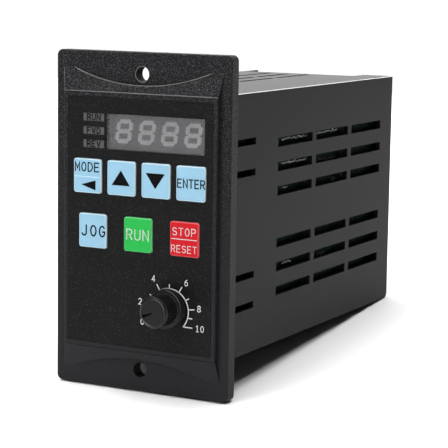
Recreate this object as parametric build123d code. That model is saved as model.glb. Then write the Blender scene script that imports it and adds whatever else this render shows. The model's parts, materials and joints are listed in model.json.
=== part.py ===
"""Panel-mounted variable frequency drive, as an assembly of separate pieces.

Units are millimetres. The origin is on the flange's rear (mounting) face, midway
between the two panel screw holes. +X is to the right seen from the front, +Y runs
back into the case, +Z is up. Places called "front" therefore have the lower Y.
"""
import os
from math import cos, radians, sin

from build123d import *

os.makedirs("parts", exist_ok=True)

# ---------------------------------------------------------------- front panel
FLANGE_W = 77.8
FLANGE_H = 132.5
FLANGE_T = 5.2
FLANGE_CORNER = 2.4
FLANGE_EDGE = 0.6
PANEL_HOLE_SPACING = 115.6
PANEL_HOLE_R = 3.0
REBATE_T = 1.0             # seat in the flange's back for the case's front edge
REBATE_GAP = 0.1

BEZEL_W = 68.3
BEZEL_H = 101.0
BEZEL_RAISE = 2.2
BEZEL_CORNER = 0.8
BEZEL_EDGE = 0.35
RAMP_END_Z = 59.5
RAMP_END_HALF = 35.6
RAMP_CREASE_HALF = 30.8
RAMP_FACET_DROP = 0.4
SCOOP_R = 81.0
SCOOP_APEX_Z = 53.4

LABEL_W = 64.5
LABEL_H = 96.8
LABEL_T = 0.2
LABEL_CORNER = 0.5
LABEL_RECESS = 0.25
LABEL_GAP = 0.2

SKIN = 2.5                 # wall behind the bezel
CAVITY_W = 66.5
CAVITY_H = 98.0
CAVITY_CORNER = 1.5

SNAP_ROOT_X = 30.6
SNAP_ROOT_Y = (-4.5, -1.1)
SNAP_END_Y = 12.0
SNAP_HALF = 3.5
HOOK_Y = (2.8, 5.2)
HOOK_HALF = 2.8
HOOK_GAP = 0.4             # clearance round the hook in the case's window

# ---------------------------------------------------------------- case
CASE_W = 71.0
CASE_H = 102.4
CASE_DEPTH = 158.0
CASE_WALL = 2.0
CASE_EDGE = 0.5
CASE_REAR_ROUND = 2.5

VENT_ROWS_Z = (10.5, 20.3, 30.1)
VENT_H = 3.75
VENT_L = 32.0
VENT_PITCH_Y = 35.7
VENT_FIRST_Y = 41.4
VENT_COLUMNS = 3
TONGUE_ROWS_Z = (20.2, 32.3)
TONGUE_SLOT_H = 2.7
TONGUE_SLOT_END = 21.8
TOP_VENT_X = (-19.0, -9.4, 0.2)
TOP_VENT_W = 2.4
TOP_VENT_FIRST_Y = 38.4
NOTCH_X = (-33.5, 21.0)
NOTCH_DEPTH = 11.5

REAR_PANEL_T = 2.0
REAR_PANEL_GAP = 0.15
REAR_BOSS_SIDE = 7.0
REAR_BOSS_L = 17.0
REAR_SCREW_L = 9.0
REAR_SLOT_W = 19.0
REAR_SLOT_H = 3.4
REAR_SLOT_X = 12.5
REAR_SLOT_ROWS_Z = (-32.0, -20.0, -8.0, 4.0, 16.0)

# ---------------------------------------------------------------- keys and windows
KEY_W = 12.6
KEY_H = 13.4
KEY_CORNER = 1.0
KEY_PROUD = 0.8
KEY_EDGE = 0.4
KEY_GAP = 0.25
KEY_FLANGE_T = 1.0
KEY_FLANGE_LIP = 0.55
KEYS_X = 0.15              # the middle column of keys stands a little right of centre
UPPER_KEY_Z = 17.5
LOWER_KEY_Z = -3.95
UPPER_PITCH = 15.4
LOWER_PITCH = 20.6

WINDOW_X = 7.2
WINDOW_Z = 35.3
WINDOW_W = 43.1
WINDOW_H = 13.8
WINDOW_T = 1.25
MODULE_W = 42.8
MODULE_H = 13.5
LAMP_X = -20.5
LAMP_W = 9.5
LAMP_H = 3.0
LAMP_PITCH = 5.2
LENS_L = 3.45
PLATE_GAP = 0.1            # between a window or light bar and its opening

# ---------------------------------------------------------------- speed knob and control
KNOB_X = 14.1
KNOB_Z = -31.15
KNOB_STANDOFF = 1.0
KNOB_HEIGHT = 12.5
KNOB_GRIP_R = 6.15
KNOB_CAP_R = 6.05
KNOB_FACE_R = 5.2
KNOB_BEVEL = 0.65
KNOB_DISH = 0.15
SKIRT_R = 7.7
SKIRT_RIM_R = 7.5
SKIRT_HEIGHT = 4.1
KNOB_FLUTES = 40
FLUTE_R = 0.35
FLUTE_AXIS_R = 6.25
KNOB_REST_DEG = -113.0     # where the pointer stands at rest, clockwise from +Z
POINTER_R = (0.3, 5.1)     # inner and outer end of the pointer's groove
POINTER_W = (0.35, 1.3)    # its width at those ends
POINTER_DEPTH = 0.55

SHAFT_R = 3.0
SHAFT_FLAT = 1.9           # distance of the shaft's flat from its axis
SHAFT_FLAT_L = 6.2
SHAFT_TAIL = 6.0
BUSHING_R = 3.5
POT_R = 8.0
POT_DEPTH = 10.2
LUG_W = 1.4
LUG_T = 0.7
NUT_ACROSS_FLATS = 10.0
NUT_T = 2.0
WASHER_R = 5.6
WASHER_T = 0.5

# ---------------------------------------------------------------- boards and fixings
BOARD_T = 1.6
KEYPAD_BOARD_SETBACK = 7.7      # from the back of the skin
KEYPAD_BOARD_W = 65.8
KEYPAD_BOARD_H = 97.2
LEAD_R = 0.25
LEAD_L = 2.6
SWITCH_SIDE = 6.0
SWITCH_HEIGHT = 3.4
SWITCH_LEG_R = 0.35
SWITCH_LEG_X = 2.25
SWITCH_LEG_Z = 1.6
PLUNGER_R = 1.7
PLUNGER_IN_SWITCH = 1.2
DISPLAY_PIN_Z = 5.1
PIN_PITCH = 2.54
BOSS_R = 2.1
BOSS_PLACES = [(side * 30.9, lift * 46.2) for side in (-1, 1) for lift in (-1, 1)]
BOSS_HOLE_L = 5.5
KEYPAD_SCREW_L = 6.0
SCREW_R = 1.2
SCREW_HEAD_R = 2.1
SCREW_HEAD_T = 1.5
SCREW_FIT = 0.02           # radial room of a screw in the hole it bites in

POWER_BOARD_X = 30.0       # component side; the solder side faces the right wall
POWER_BOARD_Y = (14.0, 137.5)
BOARD_TAIL_Y = 153.5
BOARD_TAIL_Z = -30.0
GUIDE_T = 1.2
GUIDE_H = 2.6
GUIDE_GAP = 0.1

TERMINAL_WAYS = 7
TERMINAL_PITCH = 6.35
TERMINAL_HALF = 23.2
TERMINAL_MID_X = -2.7
TERMINAL_Y = 146.8
TERMINAL_Z = 35.8
TERMINAL_H = 13.8
TERMINAL_MID = 5.4         # from the block's front to its row of screws
WIRE_HOLE_R = 1.9
WIRE_HOLE_Z = 4.4
SCREW_WELL_R = 2.3
CAGE_FLOOR = 1.3
CAGE_H = 6.2
CAGE_W = 4.8
CAGE_L = 5.6
CAGE_WALL = 0.6

SINK_X = (-31.0, 10.0)
SINK_Y = (26.0, 124.0)
SINK_Z = (-46.0, -6.0)
SINK_BASE_T = 4.0
SINK_FINS = 7
SINK_FIN_T = 2.0
SPACER_R = 2.6
SPACER_SCREW_L = 7.0
SPACER_HEAD_T = 1.3
SPACER_PLACES = [(y, z) for y in (31.0, 119.0) for z in (-41.0, -15.4)]

# ---------------------------------------------------------------- parts on the power board
# A span is (y0, y1, z0, z1) on the board; "tall" is how far a part stands off it.
MODULE_SPAN = (48.0, 86.0, -38.0, -15.0)
MODULE_T = 5.4
MODULE_PIN_ROWS_Z = (-36.0, -17.0)
MODULE_PINS = 9
MODULE_PIN_PITCH = 3.75
RECTIFIER_SPAN = (92.0, 112.0, -36.0, -18.0)
RECTIFIER_T = 4.6
RECTIFIER_PINS = 4
RECTIFIER_PIN_PITCH = 5.0
CAPACITOR_PLACES = ((36.0, 28.0), (61.0, 28.0))
CAPACITOR_R = 11.0
CAPACITOR_TALL = 36.0
CORE_X = (8.0, 26.0)
CORE_SPAN = (78.0, 98.0, 18.0, 40.0)
CORE_LIMB = 4.0
MIDDLE_LIMB_HALF = 2.5
RELAY_SPAN = (104.0, 123.0, 24.0, 39.0)
RELAY_TALL = 15.5
CHOKE_X = 17.5
CHOKE_Y = 116.0
CHOKE_Z = 6.5
CHOKE_RING_R = 8.0
CHOKE_SECTION_R = 3.0
CHOKE_LOOP_R = 3.6
CHOKE_WIRE_R = 0.55
CHOKE_TURNS = 14
FUSE_X = 24.5
FUSE_Y = 133.0
FUSE_Z = (14.0, 34.0)
FUSE_R = 2.4
CLIP_ROWS_Z = (14.6, 29.4)
CLIP_L = 4.0
CLIP_HALF = 3.2
VARISTOR_R = 6.5
VARISTOR_X = 21.0
VARISTOR_Y = (129.0, 133.4)
FILM_ROWS_Z = (-25.0, -14.5)
FILM_Y = (127.0, 136.5)
FILM_H = 7.5
FILM_TALL = 14.0
SHUNT_ROWS_Z = (2.5, 7.5)
SHUNT_Y = (84.0, 97.0)
SHUNT_R = 2.0
SHUNT_STAND = 3.0
CHIP_SPAN = (46.0, 56.0, -2.0, 8.0)
CHIP_LEGS = 8
CHIP_LEG_PITCH = 1.17
HEADER_X = -16.0
HEADER_Z = -26.0
HEADER_HALF_L = 8.0
HEADER_HALF_W = 3.0
HEADER_TALL = 6.0
RIBBON_Y = 19.0
RIBBON_BEND = 4.5
RIBBON_W = 12.6
RIBBON_T = 0.9

# ---------------------------------------------------------------- derived places
FLANGE_FRONT = -FLANGE_T
BEZEL_FRONT = FLANGE_FRONT - BEZEL_RAISE
SKIN_BACK = BEZEL_FRONT + SKIN
LABEL_BACK = BEZEL_FRONT + LABEL_RECESS
LABEL_FRONT = LABEL_BACK - LABEL_T
PLATE_FRONT = LABEL_FRONT + 0.05
MODULE_FRONT = PLATE_FRONT + WINDOW_T + 0.1
KEY_FRONT = LABEL_FRONT - KEY_PROUD
KEY_FLANGE_FRONT = SKIN_BACK + 0.05
KEY_BACK = KEY_FLANGE_FRONT + KEY_FLANGE_T
KEYPAD_BOARD_Y = SKIN_BACK + KEYPAD_BOARD_SETBACK
KEYPAD_BOARD_BACK = KEYPAD_BOARD_Y + BOARD_T
SWITCH_FRONT = KEYPAD_BOARD_Y - SWITCH_HEIGHT
KNOB_BACK = LABEL_FRONT - KNOB_STANDOFF
KNOB_FRONT = LABEL_FRONT - KNOB_HEIGHT
SKIRT_FRONT = LABEL_FRONT - SKIRT_HEIGHT
GROOVE_FLOOR = KNOB_FRONT + KNOB_DISH + POINTER_DEPTH
SHAFT_FRONT = KNOB_FRONT + 1.6
NUT_FRONT = LABEL_FRONT - WASHER_T - NUT_T
CASE_FRONT = -REBATE_T
INNER_X = CASE_W / 2 - CASE_WALL
INNER_Z = CASE_H / 2 - CASE_WALL
REAR_PANEL_BACK = CASE_DEPTH - 0.5
REAR_PANEL_FRONT = REAR_PANEL_BACK - REAR_PANEL_T
TERMINAL_TOP = TERMINAL_Z + TERMINAL_H
TERMINAL_SCREW_Y = TERMINAL_Y + TERMINAL_MID
TERMINAL_BACK = CASE_DEPTH - 0.6
SOLDER_X = POWER_BOARD_X + BOARD_T

KEYS = {
    "mode": (KEYS_X - 1.5 * UPPER_PITCH, UPPER_KEY_Z),
    "up": (KEYS_X - 0.5 * UPPER_PITCH, UPPER_KEY_Z),
    "down": (KEYS_X + 0.5 * UPPER_PITCH, UPPER_KEY_Z),
    "enter": (KEYS_X + 1.5 * UPPER_PITCH, UPPER_KEY_Z),
    "jog": (KEYS_X - LOWER_PITCH, LOWER_KEY_Z),
    "run": (KEYS_X, LOWER_KEY_Z),
    "stop": (KEYS_X + LOWER_PITCH, LOWER_KEY_Z),
}
LAMP_ROWS_Z = [WINDOW_Z + LAMP_PITCH * row for row in (1, 0, -1)]
SNAP_Z = sum(TONGUE_ROWS_Z) / 2
SNAP_PLACES = [(side, lift * SNAP_Z) for side in (1, -1) for lift in (1, -1)]
REAR_SCREW_PLACES = [
    (side * (INNER_X - REAR_BOSS_SIDE / 2), lift * (INNER_Z - REAR_BOSS_SIDE / 2))
    for side, lift in ((-1, -1), (-1, 1), (1, -1))
]
TERMINAL_X = [TERMINAL_MID_X + (way - (TERMINAL_WAYS - 1) / 2) * TERMINAL_PITCH
              for way in range(TERMINAL_WAYS)]


# ---------------------------------------------------------------- small helpers
def block(x0, x1, y0, y1, z0, z1):
    """Box between two opposite corners, in either order."""
    centre = ((x0 + x1) / 2, (y0 + y1) / 2, (z0 + z1) / 2)
    return Pos(*centre) * Box(abs(x1 - x0), abs(y1 - y0), abs(z1 - z0))


def rod_x(y, z, radius, x0, x1):
    """Cylinder along X."""
    return Pos((x0 + x1) / 2, y, z) * Rot(0, 90, 0) * Cylinder(radius, x1 - x0)


def rod_y(x, z, radius, y0, y1):
    """Cylinder along Y."""
    return Pos(x, (y0 + y1) / 2, z) * Rot(90, 0, 0) * Cylinder(radius, y1 - y0)


def rod_z(x, y, radius, z0, z1):
    """Cylinder along Z."""
    return Pos(x, y, (z0 + z1) / 2) * Cylinder(radius, z1 - z0)


def slab(width, height, corner, x, z, y0, y1):
    """Plate facing the front, with rounded corners."""
    outline = RectangleRounded(width, height, corner)
    return Pos(x, y1, z) * Rot(90, 0, 0) * extrude(outline, amount=y1 - y0)


def hexagon_x(y, z, radius, x0, x1):
    """Hexagonal bar along X."""
    outline = RegularPolygon(radius=radius, side_count=6, major_radius=False)
    return Pos(x0, y, z) * Rot(0, 90, 0) * extrude(outline, amount=x1 - x0)


def on_board(span, tall, foot=0.0):
    """Block on the power board's component side, its foot that far off the board."""
    return block(POWER_BOARD_X - tall, POWER_BOARD_X - foot, *span)


def polyhedron(*faces):
    """Closed solid from lists of corner points, one list for each flat face."""
    sides = [Face(Wire.make_polygon(points)) for points in faces]
    return Solid(Shell(sides))


def front_edges(shape):
    """The edges that lie in the shape's frontmost plane."""
    return shape.edges().group_by(Axis.Y)[0]


def group(solids):
    """Separate solids that share one node."""
    return Compound(children=list(solids))


def mirrored_z(shape):
    return mirror(shape, about=Plane.XY)


def at_knob(shape):
    """Shape drawn round the origin and pointing up, put on the knob at its rest angle."""
    return Pos(KNOB_X, 0, KNOB_Z) * Rot(0, KNOB_REST_DEG, 0) * shape


# ---------------------------------------------------------------- front panel
def ramp():
    """Sloped block above the bezel: it falls to the flange, with a shallow facet at
    each side and a scoop round the screw hole."""
    z0 = BEZEL_H / 2
    half = BEZEL_W / 2
    foot = FLANGE_FRONT
    top = BEZEL_FRONT
    edge = BEZEL_FRONT + RAMP_FACET_DROP
    crease_l = (-RAMP_CREASE_HALF, top, z0)
    crease_r = (RAMP_CREASE_HALF, top, z0)
    edge_l = (-half, edge, z0)
    edge_r = (half, edge, z0)
    foot_l = (-half, foot, z0)
    foot_r = (half, foot, z0)
    end_l = (-RAMP_END_HALF, foot, RAMP_END_Z)
    end_r = (RAMP_END_HALF, foot, RAMP_END_Z)
    body = polyhedron(
        (crease_l, crease_r, end_r, end_l),
        (crease_l, end_l, edge_l),
        (crease_r, end_r, edge_r),
        (edge_l, end_l, foot_l),
        (edge_r, end_r, foot_r),
        (foot_l, foot_r, end_r, end_l),
        (crease_l, edge_l, foot_l, foot_r, edge_r, crease_r),
    )
    scoop = rod_y(0, SCOOP_APEX_Z + SCOOP_R, SCOOP_R, top - 1, foot)
    return body - scoop


def snap_arm(side, z_mid):
    """Arm behind the flange whose hook clicks into the case's tongue."""
    root = side * SNAP_ROOT_X
    face = side * (INNER_X - 0.2)
    hook = side * (CASE_W / 2 - 0.4)
    wall = side * (CAVITY_W / 2 + 0.8)
    low = z_mid - SNAP_HALF
    high = z_mid + SNAP_HALF
    arm = block(root, face, SNAP_ROOT_Y[0], SNAP_END_Y, low, high)
    arm += block(root, wall, *SNAP_ROOT_Y, low, high)
    return arm + block(face, hook, *HOOK_Y, z_mid - HOOK_HALF, z_mid + HOOK_HALF)


def front_openings(y0, y1):
    """Cutters for the keys, display, light bars and control shaft."""
    cuts = []
    hole_w = KEY_W + 2 * KEY_GAP
    hole_h = KEY_H + 2 * KEY_GAP
    for x, z in KEYS.values():
        cuts.append(slab(hole_w, hole_h, KEY_CORNER + KEY_GAP, x, z, y0, y1))
    cuts.append(slab(WINDOW_W, WINDOW_H, 0.3, WINDOW_X, WINDOW_Z, y0, y1))
    for z in LAMP_ROWS_Z:
        cuts.append(slab(LAMP_W, LAMP_H, 0.2, LAMP_X, z, y0, y1))
    cuts.append(rod_y(KNOB_X, KNOB_Z, BUSHING_R + 0.1, y0, y1))
    return cuts


def front_panel():
    flange = slab(FLANGE_W, FLANGE_H, FLANGE_CORNER, 0, 0, FLANGE_FRONT, 0)
    flange = fillet(front_edges(flange), FLANGE_EDGE)
    bezel = slab(BEZEL_W, BEZEL_H, BEZEL_CORNER, 0, 0, BEZEL_FRONT, FLANGE_FRONT + 0.1)
    bezel = fillet(front_edges(bezel), BEZEL_EDGE)
    panel = flange + bezel + ramp() + mirrored_z(ramp())
    panel -= slab(CAVITY_W, CAVITY_H, CAVITY_CORNER, 0, 0, SKIN_BACK, 1)
    seat_x = CASE_W / 2 + REBATE_GAP
    seat_z = CASE_H / 2 + REBATE_GAP
    panel -= block(-seat_x, seat_x, CASE_FRONT, 1, -seat_z, seat_z)
    panel -= slab(LABEL_W + 2 * LABEL_GAP, LABEL_H + 2 * LABEL_GAP, LABEL_CORNER + LABEL_GAP,
                  0, 0, BEZEL_FRONT - 1, LABEL_BACK)
    for lift in (1, -1):
        panel -= rod_y(0, lift * PANEL_HOLE_SPACING / 2, PANEL_HOLE_R, BEZEL_FRONT - 1, 1)
    for cut in front_openings(BEZEL_FRONT - 1, 0):
        panel -= cut
    for x, z in BOSS_PLACES:
        panel += rod_y(x, z, BOSS_R, SKIN_BACK, KEYPAD_BOARD_Y)
        panel -= rod_y(x, z, SCREW_R + SCREW_FIT, KEYPAD_BOARD_Y - BOSS_HOLE_L, KEYPAD_BOARD_Y)
    for side, z_mid in SNAP_PLACES:
        panel += snap_arm(side, z_mid)
    return panel


def front_label():
    """Thin printed sheet over the bezel, with its cut-outs."""
    sheet = slab(LABEL_W, LABEL_H, LABEL_CORNER, 0, 0, LABEL_FRONT, LABEL_BACK)
    for cut in front_openings(LABEL_FRONT - 1, LABEL_BACK + 1):
        sheet -= cut
    return sheet


# ---------------------------------------------------------------- display and lamps
def lead(x, z, radius=LEAD_R):
    """Lead of a front-side part, through the keypad board."""
    return rod_y(x, z, radius, KEYPAD_BOARD_Y - 0.5, KEYPAD_BOARD_Y + LEAD_L)


def display_pins():
    """Where the display module's pins stand."""
    columns = [WINDOW_X + (column - 2.5) * PIN_PITCH for column in range(6)]
    return [(x, WINDOW_Z + row) for row in (-DISPLAY_PIN_Z, DISPLAY_PIN_Z) for x in columns]


def lamp_pins(z):
    return [(LAMP_X + side * PIN_PITCH / 2, z) for side in (-1, 1)]


def display_window():
    """Smoked plate that closes the display cut-out, flush with the label."""
    return slab(WINDOW_W - PLATE_GAP, WINDOW_H - PLATE_GAP, 0.25, WINDOW_X, WINDOW_Z,
                PLATE_FRONT, PLATE_FRONT + WINDOW_T)


def led_display():
    """Four-digit display module with its pins through the keypad board."""
    shape = slab(MODULE_W, MODULE_H, 0.3, WINDOW_X, WINDOW_Z, MODULE_FRONT, KEYPAD_BOARD_Y)
    for x, z in display_pins():
        shape += lead(x, z)
    return shape


def indicator_lenses():
    """Light bars for run, forward and reverse."""
    return group(slab(LAMP_W - PLATE_GAP, LAMP_H - PLATE_GAP, 0.15, LAMP_X, z,
                      PLATE_FRONT, PLATE_FRONT + LENS_L) for z in LAMP_ROWS_Z)


def indicator_leds():
    """Rectangular light-emitting diodes behind the three lenses."""
    leds = []
    for z in LAMP_ROWS_Z:
        body = slab(5.0, 2.0, 0.3, LAMP_X, z, PLATE_FRONT + LENS_L + 0.7, KEYPAD_BOARD_Y)
        for pin_x, pin_z in lamp_pins(z):
            body += lead(pin_x, pin_z)
        leds.append(body)
    return group(leds)


# ---------------------------------------------------------------- keys and switches
def key_cap(x, z):
    """Key with a bevelled crown and a hidden flange that stops it falling out."""
    crown = slab(KEY_W, KEY_H, KEY_CORNER, x, z, KEY_FRONT, KEY_FLANGE_FRONT + 0.2)
    crown = chamfer(front_edges(crown), KEY_EDGE)
    flange = slab(KEY_W + 2 * KEY_FLANGE_LIP, KEY_H + 2 * KEY_FLANGE_LIP, KEY_CORNER, x, z,
                  KEY_FLANGE_FRONT, KEY_BACK)
    return crown + flange


def switch_plunger(x, z):
    """Round plunger of a tactile switch, pushed by its key."""
    return rod_y(x, z, PLUNGER_R, KEY_BACK, SWITCH_FRONT + PLUNGER_IN_SWITCH)


def switch_legs(x, z):
    """Where a switch's four legs stand."""
    return [(x + side * SWITCH_LEG_X, z + lift * SWITCH_LEG_Z) for side in (-1, 1) for lift in (-1, 1)]


def switch_body(x, z):
    half = SWITCH_SIDE / 2
    body = block(x - half, x + half, SWITCH_FRONT, KEYPAD_BOARD_Y, z - half, z + half)
    body -= rod_y(x, z, PLUNGER_R + 0.1, SWITCH_FRONT - 1, SWITCH_FRONT + PLUNGER_IN_SWITCH + 1)
    for leg_x, leg_z in switch_legs(x, z):
        body += lead(leg_x, leg_z, SWITCH_LEG_R)
    return body


def switch_bodies():
    return group(switch_body(x, z) for x, z in KEYS.values())


# ---------------------------------------------------------------- keypad board
def lead_places():
    """Where leads of parts on the front side pass through the keypad board."""
    places = display_pins()
    for z in LAMP_ROWS_Z:
        places += lamp_pins(z)
    for x, z in KEYS.values():
        places += switch_legs(x, z)
    return places


def keypad_board():
    y0 = KEYPAD_BOARD_Y - 1
    y1 = KEYPAD_BOARD_BACK + 1
    board = slab(KEYPAD_BOARD_W, KEYPAD_BOARD_H, 1.2, 0, 0, KEYPAD_BOARD_Y, KEYPAD_BOARD_BACK)
    arm_room = SNAP_HALF + 0.7
    for side, z_mid in SNAP_PLACES:
        board -= block(side * (SNAP_ROOT_X - 0.4), side * KEYPAD_BOARD_W, y0, y1,
                       z_mid - arm_room, z_mid + arm_room)
    for x, z in BOSS_PLACES:
        board -= rod_y(x, z, SCREW_R + 0.15, y0, y1)
    board -= rod_y(KNOB_X, KNOB_Z, POT_R + 0.6, y0, y1)
    for x, z in lead_places():
        board -= rod_y(x, z, 0.5, y0, y1)
    return board


def pan_screw_y(x, z, seat_y, length):
    """Pan-head screw driven towards the front, with a cross recess."""
    head = rod_y(x, z, SCREW_HEAD_R, seat_y, seat_y + SCREW_HEAD_T)
    head = fillet(head.edges().group_by(Axis.Y)[-1], 0.6)
    recess_y = seat_y + SCREW_HEAD_T - 0.7
    for half_w, half_h in ((1.2, 0.3), (0.3, 1.2)):
        head -= block(x - half_w, x + half_w, recess_y, seat_y + 2, z - half_h, z + half_h)
    return head + rod_y(x, z, SCREW_R, seat_y - length, seat_y + 0.3)


def keypad_screws():
    return group(pan_screw_y(x, z, KEYPAD_BOARD_BACK, KEYPAD_SCREW_L) for x, z in BOSS_PLACES)


def control_chips():
    """Display driver, memory and a row of resistors on the keypad board's back."""
    back = KEYPAD_BOARD_BACK
    driver = block(-8, 8, back, back + 2.2, -1.5, 5.5)
    memory = block(-24, -16, back, back + 1.6, 4, 9)
    resistors = [block(x, x + 2, back, back + 0.8, -12, -10.8) for x in range(-27, 1, 4)]
    return group([driver, memory] + resistors)


# ---------------------------------------------------------------- speed control
def potentiometer():
    """Rotary control body with its bushing and three lugs."""
    body = rod_y(KNOB_X, KNOB_Z, POT_R, SKIN_BACK, SKIN_BACK + POT_DEPTH)
    body += rod_y(KNOB_X, KNOB_Z, BUSHING_R, NUT_FRONT - 0.1, SKIN_BACK + 1)
    lug_back = SKIN_BACK + POT_DEPTH - 0.1
    for side in (-5, 0, 5):
        x = KNOB_X + side
        body += block(x - LUG_W / 2, x + LUG_W / 2, lug_back - LUG_T, lug_back,
                      KNOB_Z + 5, KNOB_Z + 13)
    return body - rod_y(KNOB_X, KNOB_Z, SHAFT_R + 0.05, NUT_FRONT - 1, SKIN_BACK + SHAFT_TAIL + 0.1)


def pot_washer():
    ring = rod_y(KNOB_X, KNOB_Z, WASHER_R, LABEL_FRONT - WASHER_T, LABEL_FRONT)
    return ring - rod_y(KNOB_X, KNOB_Z, BUSHING_R + 0.05, LABEL_FRONT - 1, LABEL_FRONT + 1)


def pot_nut():
    hexagon = RegularPolygon(radius=NUT_ACROSS_FLATS / 2, side_count=6, major_radius=False)
    nut = Pos(KNOB_X, NUT_FRONT + NUT_T, KNOB_Z) * Rot(90, 0, 0) * extrude(hexagon, amount=NUT_T)
    return nut - rod_y(KNOB_X, KNOB_Z, BUSHING_R + 0.03, NUT_FRONT - 1, NUT_FRONT + NUT_T + 1)


def pot_shaft():
    """Shaft with a flat, held in the bushing and pressed into the knob."""
    shaft = rod_y(KNOB_X, KNOB_Z, SHAFT_R, SHAFT_FRONT, SKIN_BACK + SHAFT_TAIL)
    flat = block(-SHAFT_R - 1, SHAFT_R + 1, SHAFT_FRONT - 0.1, SHAFT_FRONT + SHAFT_FLAT_L,
                 -SHAFT_R - 1, -SHAFT_FLAT)
    return shaft - at_knob(flat)


def pointer_wedge(y0, y1, inset):
    """Wedge that widens towards the knob's rim, its outline inset by that much."""
    inner_r = POINTER_R[0] + inset
    outer_r = POINTER_R[1] - inset
    inner_half = POINTER_W[0] / 2 - inset
    outer_half = POINTER_W[1] / 2 - inset
    outline = Polyline(
        (-inner_half, y1, inner_r),
        (inner_half, y1, inner_r),
        (outer_half, y1, outer_r),
        (-outer_half, y1, outer_r),
        close=True,
    )
    return at_knob(extrude(make_face(outline), amount=y1 - y0, dir=(0, -1, 0)))


def knob():
    """Skirted knob with a fine fluted grip, hollow behind for the nut."""
    dish = KNOB_FRONT + KNOB_DISH
    bevel = KNOB_FRONT + KNOB_BEVEL
    profile = Polyline(
        (0, KNOB_BACK),
        (SKIRT_R - 0.15, KNOB_BACK),
        (SKIRT_R, KNOB_BACK - 0.3),
        (SKIRT_RIM_R, SKIRT_FRONT),
        (KNOB_GRIP_R, SKIRT_FRONT - 0.3),
        (KNOB_CAP_R, bevel),
        (KNOB_FACE_R, KNOB_FRONT),
        (KNOB_FACE_R - 0.2, dish),
        (0, dish),
        close=True,
    )
    body = Pos(KNOB_X, 0, KNOB_Z) * revolve(make_face(profile), axis=Axis.Y)
    for flute in range(KNOB_FLUTES):
        angle = radians(360 / KNOB_FLUTES * flute)
        x = KNOB_X + FLUTE_AXIS_R * sin(angle)
        z = KNOB_Z + FLUTE_AXIS_R * cos(angle)
        body -= rod_y(x, z, FLUTE_R, bevel + 0.3, SKIRT_FRONT - 0.5)
    nut_room = NUT_ACROSS_FLATS / 2 / cos(radians(30)) + 0.35
    body -= rod_y(KNOB_X, KNOB_Z, nut_room, NUT_FRONT - 0.4, KNOB_BACK + 1)
    body -= pot_shaft()
    return body - pointer_wedge(KNOB_FRONT - 1, GROOVE_FLOOR, 0)


def knob_pointer():
    """Inlay at the bottom of the knob's groove that points at the scale."""
    return pointer_wedge(GROOVE_FLOOR - 0.25, GROOVE_FLOOR, 0.03)


# ---------------------------------------------------------------- case
def side_vents():
    """Long vent slots, the slots that free the snap tongues, and the hooks' windows."""
    cuts = []
    through = CASE_W / 2 + 1
    for lift in (1, -1):
        for row in VENT_ROWS_Z:
            z = lift * row
            for column in range(VENT_COLUMNS):
                y0 = VENT_FIRST_Y + column * VENT_PITCH_Y
                cuts.append(block(-through, through, y0, y0 + VENT_L,
                                  z - VENT_H / 2, z + VENT_H / 2))
        for row in TONGUE_ROWS_Z:
            z = lift * row
            cuts.append(block(-through, through, CASE_FRONT - 1, TONGUE_SLOT_END,
                              z - TONGUE_SLOT_H / 2, z + TONGUE_SLOT_H / 2))
    half = HOOK_HALF + HOOK_GAP
    for side, z_mid in SNAP_PLACES:
        cuts.append(block(side * (INNER_X - 1), side * through, HOOK_Y[0] - HOOK_GAP,
                          HOOK_Y[1] + HOOK_GAP, z_mid - half, z_mid + half))
    return cuts


def top_vents():
    """Slots along the top and bottom walls."""
    cuts = []
    through = CASE_H / 2 + 1
    for x in TOP_VENT_X:
        for column in range(VENT_COLUMNS):
            y0 = TOP_VENT_FIRST_Y + column * VENT_PITCH_Y
            cuts.append(block(x - TOP_VENT_W / 2, x + TOP_VENT_W / 2, y0, y0 + VENT_L,
                              -through, through))
    return cuts


def board_guides():
    """Ribs on the top and bottom walls that hold the power board by its edges."""
    ribs = []
    for lift in (1, -1):
        for x0 in (POWER_BOARD_X - GUIDE_GAP - GUIDE_T, SOLDER_X + GUIDE_GAP):
            ribs.append(block(x0, x0 + GUIDE_T, POWER_BOARD_Y[0], POWER_BOARD_Y[1] + 0.5,
                              lift * (INNER_Z - GUIDE_H), lift * (INNER_Z + 0.5)))
    return ribs


def main_case():
    half_w = CASE_W / 2
    half_h = CASE_H / 2
    shell = block(-half_w, half_w, CASE_FRONT, CASE_DEPTH, -half_h, half_h)
    rear_bottom = [edge for edge in shell.edges().filter_by(Axis.X)
                   if edge.center().Y > CASE_DEPTH - 0.1 and edge.center().Z < 0]
    shell = fillet(rear_bottom, CASE_REAR_ROUND)
    shell = fillet(shell.edges().filter_by(Axis.Y), CASE_EDGE)
    shell -= block(-INNER_X, INNER_X, CASE_FRONT - 1, CASE_DEPTH + 1, -INNER_Z, INNER_Z)
    for rib in board_guides():
        shell += rib
    half_boss = REAR_BOSS_SIDE / 2
    boss_front = REAR_PANEL_FRONT - REAR_BOSS_L
    for x, z in REAR_SCREW_PLACES:
        shell += block(x - half_boss, x + half_boss, boss_front, REAR_PANEL_FRONT,
                       z - half_boss, z + half_boss)
        shell -= rod_y(x, z, SCREW_R + SCREW_FIT, boss_front + 1.5, REAR_PANEL_FRONT + 1)
    for cut in side_vents() + top_vents():
        shell -= cut
    notch = block(*NOTCH_X, CASE_DEPTH - NOTCH_DEPTH, CASE_DEPTH + 1, INNER_Z - 0.5, half_h + 1)
    return shell - notch


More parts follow.
